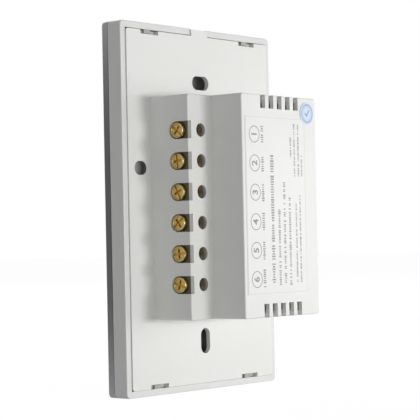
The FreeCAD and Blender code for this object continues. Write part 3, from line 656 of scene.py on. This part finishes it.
def label_paper():
    """Coated label stock: a smooth white film with a very light fibre show-through."""
    paint = Paint("label_paper", IOR=1.48)
    fibre = paint.noise(2.2, 5.0, paint.stretched(1, 1, 0.35))
    broad = paint.noise(0.06, 2.0)
    base = paint.mix(tone(228, 228, 226), tone(234, 234, 232), fibre * 0.5 + broad * 0.5)
    bump = paint.bumps(fibre * 0.5 + broad * 0.5, 0.01)
    return paint.done(Base_Color=base, Roughness=0.34 + fibre * 0.1, Normal=bump)


def label_ink(name, thin, full):
    """Grey transfer ink that takes unevenly on the film."""
    paint = Paint(name, IOR=1.45)
    take = paint.noise(3.5, 4.0)
    base = paint.mix(thin, full, take)
    return paint.done(Base_Color=base, Roughness=0.45 + take * 0.2)


def segment(u, v, start, end):
    """The distance from a point to a straight stroke."""
    du, dv = end[0] - start[0], end[1] - start[1]
    length = du * du + dv * dv
    a, b = u - start[0], v - start[1]
    along = ((a * du + b * dv) / length).held()
    a, b = a - along * du, b - along * dv
    return (a * a + b * b).root()


def sticker_paper():
    """Pale blue disc with a darker ring, short ticks round it and one plain tick mark."""
    paint = Paint("sticker_paper", IOR=1.48)
    x, y, z = paint.axes()
    centre = middle("inspection_sticker")
    u, v = centre[0] - x, z - centre[2]
    reach = (u * u + v * v).root()
    turn = u.maths("ARCTAN2", v, u) * (STICKER_TICKS / math.tau)
    ticks = (turn % 1.0).under(TICK_SHARE) * reach.near(TICK_RING, TICK_HALF)
    ring = reach.near(STICKER_RING, STICKER_RING_HALF)
    start, bend, end = TICK_MARK
    stroke = segment(u, v, start, bend).least(segment(u, v, bend, end)).under(TICK_MARK_HALF)
    ink = (ring + ticks + stroke).held()
    grain = paint.noise(2.5, 4.0)
    base = paint.mix(tone(194, 212, 234), tone(216, 228, 242), grain)
    base = paint.mix(base, tone(126, 158, 206), ink * 0.85)
    face = y.over(ends("inspection_sticker", 1)[1] - SKIN)
    base = paint.mix(tone(226, 232, 238), base, face)
    return paint.done(
        Base_Color=base, Roughness=0.3 + grain * 0.12, Normal=paint.bumps(grain, 0.006),
    )


def lit_plastic(name, colour, roughness):
    """Clear or milky plastic with faint bubbles."""
    paint = Paint(name, IOR=1.49, Transmission_Weight=0.4)
    haze = paint.noise(1.4, 3.0)
    base = paint.mix(dimmed(colour, 0.85), colour, haze)
    return paint.done(
        Base_Color=base, Roughness=roughness + haze * 0.1, Normal=paint.bumps(haze, 0.01),
    )


FINISHES = {
    "glass_panel": black_glass(),
    "glass_adhesive": coated("tape", tone(188, 188, 185), 0.6, 0.02, 1.5),
    "front_frame": moulded("white_frame", tone(225, 225, 224), 0.36, 0.004, 4.0),
    "rear_housing": white_housing(),
    # Painted shade: the snap hooks, moulded white with the frame, are painted grey for the shade of their
    # sunken windows.
    "snap_hooks": moulded("hooks_painted_shade", tone(168, 168, 165), 0.45, 0.004, 4.0),
    "power_board": circuit_board(
        "green_board", tone(28, 84, 50), tone(206, 204, 196), tone(226, 228, 220)
    ),
    "power_board_screws": brushed_metal("steel", tone(186, 186, 184), 0.3),
    "touch_springs": brushed_metal("spring_steel", tone(206, 204, 198), 0.22, "Y"),
    "status_leds": lit_plastic("led", tone(236, 232, 190), 0.2),
    "light_guides": lit_plastic("light_guide", tone(236, 238, 240), 0.12),
    "touch_chip": moulded("black_chip", tone(34, 34, 36), 0.55, 0.01, 6.0, 0.2),
    "board_header": moulded("black_plastic", tone(28, 28, 30), 0.45, 0.006, 4.0, 0.2),
    "relays": moulded("relay_case", tone(36, 72, 138), 0.34, 0.008, 3.0, 0.15),
    "transformer_core": coated("ferrite", tone(62, 62, 64), 0.62, 0.03, 2.5),
    "transformer_winding": winding_tape(),
    "bulk_capacitor": capacitor_sleeve(),
    "film_capacitor": coated("film_case", tone(206, 166, 40), 0.4, 0.03, 0.8),
    "varistor": coated("varistor_coat", tone(40, 92, 158), 0.28, 0.12, 0.35),
    "fuse": fuse_sleeve(),
    "wireless_board": circuit_board(
        "blue_board", tone(26, 52, 104), tone(214, 196, 130), tone(226, 228, 232)
    ),
    "wireless_shield": shield_tin(),
    "radio_antenna": brushed_metal("antenna_wire", tone(214, 176, 96), 0.25, "Y"),
    "terminal_blocks": terminal_plastic(),
    "terminal_cages": brushed_metal("cage_metal", tone(150, 140, 110), 0.52, "Y", 0.6),
    "rating_label": label_paper(),
    "inspection_sticker": sticker_paper(),
}
SAME_FINISH = {
    "touch_board": "power_board",
    "touch_board_screws": "power_board_screws",
    "board_socket": "board_header",
    "bridge_rectifier": "touch_chip",
}
INK = label_ink("label_ink", tone(160, 161, 163), tone(138, 139, 142))
PALE_INK = label_ink("border_ink", tone(214, 214, 215), tone(198, 199, 201))
BRASS = brass_screw()
for number in range(1, TERMINALS + 1):
    SAME_FINISH["clamp_shoe_%d" % number] = "terminal_cages"


def dress(node, material):
    """Gives a CAD node its finish."""
    thing = NODES[node]
    if not thing.data.materials:
        thing.data.materials.append(material)
    for place in thing.material_slots:
        place.material = material


for node, material in FINISHES.items():
    dress(node, material)
for node, other in SAME_FINISH.items():
    dress(node, FINISHES[other])

# Pieces


def add_piece(name, mesh, body, material=None):
    """A finished mesh in metres becomes a piece that rides on a body."""
    mesh.name = name
    if material:
        mesh.materials.clear()
        mesh.materials.append(material)
    piece = bpy.data.objects.new(name, mesh)
    bpy.context.collection.objects.link(piece)
    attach(piece, body)
    return piece


def lathe(profile, turns):
    """A closed solid turned round the Z axis from (radius, height) points on the axis at both ends."""
    shape = bmesh.new()
    rings = []
    for radius, height in profile:
        if radius == 0:
            rings.append([shape.verts.new((0, 0, height))])
            continue
        rings.append([
            shape.verts.new((
                radius * math.cos(math.tau * k / turns), radius * math.sin(math.tau * k / turns),
                height,
            ))
            for k in range(turns)
        ])
    for low, high in zip(rings, rings[1:]):
        for k in range(turns):
            n = (k + 1) % turns
            corners = [low[k % len(low)], low[n % len(low)], high[n % len(high)], high[k % len(high)]]
            shape.faces.new(list(dict.fromkeys(corners)))
    bmesh.ops.recalc_face_normals(shape, faces=shape.faces)
    return shape


def mesh_from(shape, name, scale=1.0):
    """A flat-shaded mesh of a shape, which is used up."""
    mesh = bpy.data.meshes.new(name)
    shape.transform(Matrix.Scale(scale, 4))
    shape.to_mesh(mesh)
    shape.free()
    for face in mesh.polygons:
        face.use_smooth = False
    return mesh


def box_shape(low, high):
    shape = bmesh.new()
    size = Vector(high) - Vector(low)
    centre = (Vector(high) + Vector(low)) / 2
    place = Matrix.Translation(centre) @ Matrix.Diagonal((*size, 1))
    bmesh.ops.create_cube(shape, size=1.0, matrix=place)
    return shape


def cut_away(mesh, cutters):
    """The mesh with box-shaped recesses cut into it."""
    body = bpy.data.objects.new("blank", mesh)
    bpy.context.collection.objects.link(body)
    tools = []
    for shape in cutters:
        tool = bpy.data.objects.new("cutter", mesh_from(shape, "cutter"))
        bpy.context.collection.objects.link(tool)
        modifier = body.modifiers.new("recess", "BOOLEAN")
        modifier.operation, modifier.solver, modifier.object = "DIFFERENCE", "EXACT", tool
        tools.append(tool)
    made = plain_mesh(body)
    for thing in [body, *tools]:
        bpy.data.objects.remove(thing)
    return made


# Terminal screws: turned head with a raised rim, slot and cross recess, and a rolled thread

HEAD_SEGMENTS = 64
HEAD_RADIUS = (ends("terminal_screw_1", 1)[1] - ends("terminal_screw_1", 1)[0]) / 2
HEAD_HEIGHT = 1.5
RIM_WIDTH, DISH = 0.5, 0.22
SLOT_WIDTH, SLOT_DEPTH = 0.8, 0.6
CROSS_LENGTH, CROSS_DEPTH = 3.0, 0.85
SHANK_RADIUS, THREAD_PITCH, THREAD_DEPTH = 1.5, 0.5, 0.18
THREAD_STEPS, THREAD_SIDES, FLANK_SLOPE = 10, 40, 2.6
TIP_CHAMFER, TIP_SLOPE = 0.25, 1.4
SCREW_TURNS = [52.0, 8.0, 27.0, 128.0, 95.0, 74.0]


def head_mesh():
    r, h = HEAD_RADIUS, HEAD_HEIGHT
    inner = r - RIM_WIDTH
    profile = [
        (0, 0), (r - 0.12, 0), (r, 0.12), (r, h - 0.28), (r - 0.07, h - 0.1), (r - 0.2, h),
        (inner + 0.06, h), (inner - 0.06, h - DISH), (inner * 0.5, h - DISH + 0.03), (0, h - DISH + 0.05),
    ]
    blank = mesh_from(lathe(profile, HEAD_SEGMENTS), "head")
    half, arm, over = SLOT_WIDTH / 2, CROSS_LENGTH / 2, 1.0
    slot = box_shape((-r - over, -half, h - SLOT_DEPTH), (r + over, half, h + over))
    cross = box_shape((-half, -arm, h - CROSS_DEPTH), (half, arm, h + over))
    return cut_away(blank, [slot, cross])


def thread_shape(length):
    """A threaded rod from z = 0 down to z = -length, with a chamfered tip."""
    shape = bmesh.new()
    turns, rows = THREAD_SIDES, round(length / THREAD_PITCH * THREAD_STEPS)
    rings = []
    for row in range(rows + 1):
        z = -length * row / rows
        ring = []
        for k in range(turns):
            phase = (z / THREAD_PITCH + k / turns) % 1.0
            ridge = min(abs(phase - 0.5) * FLANK_SLOPE, 1.0)
            radius = SHANK_RADIUS - THREAD_DEPTH * ridge
            radius = min(radius, SHANK_RADIUS - TIP_CHAMFER * TIP_SLOPE + (z + length))
            angle = math.tau * k / turns
            ring.append(shape.verts.new((radius * math.cos(angle), radius * math.sin(angle), z)))
        rings.append(ring)
    for low, high in zip(rings, rings[1:]):
        for k in range(turns):
            n = (k + 1) % turns
            shape.faces.new([low[k], high[k], high[n], low[n]])
    shape.faces.new(rings[0])
    shape.faces.new(list(reversed(rings[-1])))
    bmesh.ops.recalc_face_normals(shape, faces=shape.faces)
    return shape


def screw_mesh():
    """One terminal screw on the X axis, with its head's top at x = 0, in metres."""
    left, right = ends("terminal_screw_1", 0)
    shape = bmesh.new()
    shape.from_mesh(head_mesh())
    shank = mesh_from(thread_shape(right - left - HEAD_HEIGHT), "shank")
    shape.from_mesh(shank)
    shape.transform(Matrix.Translation((0, 0, -HEAD_HEIGHT)))
    shape.transform(Matrix.Rotation(math.radians(90), 4, "Y"))
    return mesh_from(shape, "screw", MM)


def make_terminal_screws():
    layout = Layout("placed_screw", Place=(0.0, 0.0, 0.0), Turn=0.0)
    turn = layout.node("ShaderNodeCombineXYZ", None, {0: layout.given("Turn")})
    placed = layout.node("GeometryNodeTransform", None, {
        "Geometry": layout.given("Geometry"), "Translation": layout.given("Place"),
        "Rotation": turn,
    })
    layout.end(placed, BRASS)
    blank = screw_mesh()
    for number, degrees in enumerate(SCREW_TURNS, 1):
        node = "terminal_screw_%d" % number
        centre = middle(node)
        place = (HEAD_TOP * MM, centre[1] * MM, centre[2] * MM)
        mesh = layout.mesh(blank, Place=place, Turn=math.radians(degrees))
        piece = add_piece("driven_%s" % node, mesh, "screw_%d" % number)
        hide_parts(node)


make_terminal_screws()

# Print on the label: numbered rings, rows of plain strokes and a thin border

PRINT_FACE = ends("rating_label", 1)[1]
PRINT_LIFT = 0.02
RING_X = 7.75
RING_OUTER, RING_INNER = 2.62, 2.37
NUMBER_SIZE, NUMBER_WEIGHT = 3.6, 0.08
RING_PLACES = [22.4, 13.45, 4.4, -4.75, -13.6, -22.6]
RULES = [
    # x, first z, last z, height of the strokes
    (-0.85, 15.8, -24.5, 1.9),
    (-4.2, -1.0, -24.6, 1.3), (-6.95, 7.5, -24.5, 1.3), (-9.7, 2.6, -24.6, 1.3),
    (-13.1, 0.8, -23.8, 0.95), (-15.15, 3.5, -23.9, 0.95),
    (-10.7, 21.8, 15.8, 0.95), (-12.65, 26.2, 9.8, 0.95), (-14.7, 26.2, 9.8, 0.95),
    (-16.4, 16.2, 9.9, 0.95),
    (3.9, 24.9, 20.1, 1.5), (3.9, 15.9, 11.1, 1.5), (3.9, 6.7, 1.8, 1.5), (3.9, -2.2, -7.2, 1.5),
    (3.9, -11.2, -16.4, 1.5), (3.9, -19.8, -25.6, 1.5),
]
BORDER = 0.3
BORDER_WIDTH = 0.12
STROKE_STEP = 0.42


def rule_lines():
    """One edge for each ruled line, with the stroke height kept on its ends."""
    mesh = bpy.data.meshes.new("rules")
    points, edges, heights = [], [], []
    for x, start, end, height in RULES:
        edges.append((len(points), len(points) + 1))
        points += [(x * MM, PRINT_FACE * MM, start * MM), (x * MM, PRINT_FACE * MM, end * MM)]
        heights += [height, height]
    mesh.from_pydata(points, edges, [])
    layer = mesh.attributes.new("stroke_height", "FLOAT", "POINT")
    layer.data.foreach_set("value", heights)
    return mesh


def stroke_layout():
    """Plain strokes in a row along each ruled line, of uneven height, with gaps here and there."""
    layout = Layout("ruled_strokes", Step=STROKE_STEP, Lift=PRINT_LIFT * MM, Seed=4)
    height = layout.node("GeometryNodeInputNamedAttribute", {"data_type": "FLOAT"}, {
        "Name": "stroke_height",
    })
    step = height * layout.given("Step") * MM
    curve = layout.node("GeometryNodeMeshToCurve", None, {0: layout.given("Geometry")})
    spaced = layout.node("GeometryNodeCurveToPoints", {"mode": "LENGTH"}, {
        "Curve": curve, "Length": step,
    })
    seed = layout.given("Seed")
    width = layout.node("FunctionNodeRandomValue", {"data_type": "FLOAT"}, {
        2: 0.42, 3: 0.8, "Seed": seed,
    }, 1)
    reach = layout.node("FunctionNodeRandomValue", {"data_type": "FLOAT"}, {
        2: 0.5, 3: 1.0, "Seed": seed + 7,
    }, 1)
    shown = layout.node("FunctionNodeRandomValue", {"data_type": "BOOLEAN"}, {
        "Probability": 0.86, "Seed": seed,
    }, 3)
    size = layout.node("ShaderNodeCombineXYZ", None, {
        0: height * reach * MM, 1: layout.given("Lift"), 2: width * step,
    })
    bar = layout.node("GeometryNodeMeshCube", None, {"Size": (1.0, 1.0, 1.0)})
    rows = layout.node("GeometryNodeInstanceOnPoints", None, {
        "Points": spaced, "Selection": shown, "Instance": bar, "Scale": size,
    })
    lift = layout.node("ShaderNodeCombineXYZ", None, {1: layout.given("Lift") * 0.5})
    moved = layout.node("GeometryNodeSetPosition", None, {0: rows, "Offset": lift})
    layout.end(moved, INK)
    return layout


def ring_layout():
    """A thin flat printed ring on each point."""
    layout = Layout("printed_rings", Outer=RING_OUTER * MM, Inner=RING_INNER * MM, Lift=PRINT_LIFT * MM)
    outer, inner, lift = (layout.given(n) for n in ("Outer", "Inner", "Lift"))
    path = layout.node("GeometryNodeCurvePrimitiveCircle", None, {
        "Resolution": 64, "Radius": (outer + inner) * 0.5,
    })
    strip = layout.node("GeometryNodeCurvePrimitiveQuadrilateral", None, {
        "Width": outer - inner, "Height": lift,
    })
    band = layout.node("GeometryNodeCurveToMesh", None, {"Curve": path, "Profile Curve": strip})
    upright = layout.node("GeometryNodeTransform", None, {
        "Geometry": band, "Rotation": (math.radians(90), 0.0, 0.0),
    })
    rings = layout.node("GeometryNodeInstanceOnPoints", None, {
        "Points": layout.given("Geometry"), "Instance": upright,
    })
    shift = layout.node("ShaderNodeCombineXYZ", None, {1: lift * 0.5})
    moved = layout.node("GeometryNodeSetPosition", None, {0: rings, "Offset": shift})
    layout.end(moved, INK)
    return layout


def number_mesh(number, x, z):
    """A plain number that reads upwards, as the print beside it does."""
    text = bpy.data.curves.new("number", "FONT")
    text.body, text.size, text.extrude = str(number), NUMBER_SIZE * MM, PRINT_LIFT * MM / 2
    text.align_x, text.align_y, text.offset = "CENTER", "CENTER", NUMBER_WEIGHT * MM
    text.resolution_u = 3
    holder = bpy.data.objects.new("number", text)
    bpy.context.collection.objects.link(holder)
    mesh = plain_mesh(holder)
    bpy.data.objects.remove(holder)
    turn = Matrix(((0, 1, 0), (0, 0, 1), (1, 0, 0))).to_4x4()
    place = Vector((x, PRINT_FACE + PRINT_LIFT / 2, z)) * MM
    mesh.transform(Matrix.Translation(place) @ turn)
    return mesh


def border_shapes():
    low, high = (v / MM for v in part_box("rating_label"))
    x0, x1, z0, z1 = low[0] + BORDER, high[0] - BORDER, low[2] + BORDER, high[2] - BORDER
    y0, y1, w = PRINT_FACE, PRINT_FACE + PRINT_LIFT, BORDER_WIDTH
    return [
        box_shape((x0, y0, z0), (x0 + w, y1, z1)),
        box_shape((x1 - w, y0, z0), (x1, y1, z1)),
        box_shape((x0 + w, y0, z0), (x1 - w, y1, z0 + w)),
        box_shape((x0 + w, y0, z1 - w), (x1 - w, y1, z1)),
    ]


def joined(meshes, name):
    """Several meshes as one, with their faces turned outwards."""
    whole = bmesh.new()
    for mesh in meshes:
        whole.from_mesh(mesh)
    bmesh.ops.recalc_face_normals(whole, faces=whole.faces)
    return mesh_from(whole, name)


def make_label_print():
    points = bpy.data.meshes.new("ring_places")
    places = [(RING_X * MM, PRINT_FACE * MM, z * MM) for z in RING_PLACES]
    points.from_pydata(places, [], [])
    meshes = [stroke_layout().mesh(rule_lines()), ring_layout().mesh(points)]
    meshes += [number_mesh(k, RING_X, z) for k, z in enumerate(RING_PLACES, 1)]
    piece = add_piece("label_print", joined(meshes, "label_print"), "housing", INK)
    border = joined([mesh_from(shape, "border", MM) for shape in border_shapes()], "label_border")
    piece = add_piece("label_border", border, "housing", PALE_INK)


make_label_print()

# Springs behind the four keys, and the radio's helical aerial

SPRING_WIRE, SPRING_TURNS = 0.28, 3.5
AERIAL_WIRE, AERIAL_TURNS = 0.35, 11.0


def helix_layout(name, material):
    """A wound wire on each point, along the Y axis."""
    layout = Layout(name, Turns=3.0, Radius=0.004, Rise=0.002, Wire=0.0003)
    path = layout.node("GeometryNodeCurveSpiral", None, {
        "Resolution": 40, "Rotations": layout.given("Turns"),
        "Start Radius": layout.given("Radius"), "End Radius": layout.given("Radius"),
        "Height": layout.given("Rise"),
    })
    section = layout.node("GeometryNodeCurvePrimitiveCircle", None, {
        "Resolution": 8, "Radius": layout.given("Wire"),
    })
    coil = layout.node("GeometryNodeCurveToMesh", None, {
        "Curve": path, "Profile Curve": section, "Fill Caps": True,
    })
    upright = layout.node("GeometryNodeTransform", None, {
        "Geometry": coil, "Rotation": (math.radians(-90), 0.0, 0.0),
    })
    coils = layout.node("GeometryNodeInstanceOnPoints", None, {
        "Points": layout.given("Geometry"), "Instance": upright,
    })
    layout.end(coils, material)
    return layout


def point_mesh(name, places):
    mesh = bpy.data.meshes.new(name)
    mesh.from_pydata([Vector(p) * MM for p in places], [], [])
    return mesh


def make_coils():
    low, high = ends("touch_springs", 1)
    wire = SPRING_WIRE
    radius = ends("touch_springs", 0)[1] - KEY_X - wire
    places = [(a * KEY_X, low + wire, b * KEY_Z) for a in (-1, 1) for b in (-1, 1)]
    mesh = helix_layout("key_springs", FINISHES["touch_springs"]).mesh(
        point_mesh("keys", places), Turns=SPRING_TURNS, Radius=radius * MM,
        Rise=(high - low - wire * 2) * MM, Wire=wire * MM,
    )
    piece = add_piece("key_springs", mesh, "housing")
    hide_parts("touch_springs")
    low, high = ends("radio_antenna", 1)
    wire, centre = AERIAL_WIRE, middle("radio_antenna")
    radius = ends("radio_antenna", 0)[1] - centre[0] - wire
    mesh = helix_layout("aerial_coil", FINISHES["radio_antenna"]).mesh(
        point_mesh("aerial", [(centre[0], low + wire, centre[2])]), Turns=AERIAL_TURNS,
        Radius=radius * MM, Rise=(high - low - wire * 2) * MM, Wire=wire * MM,
    )
    piece = add_piece("aerial_coil", mesh, "housing")
    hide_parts("radio_antenna")


make_coils()
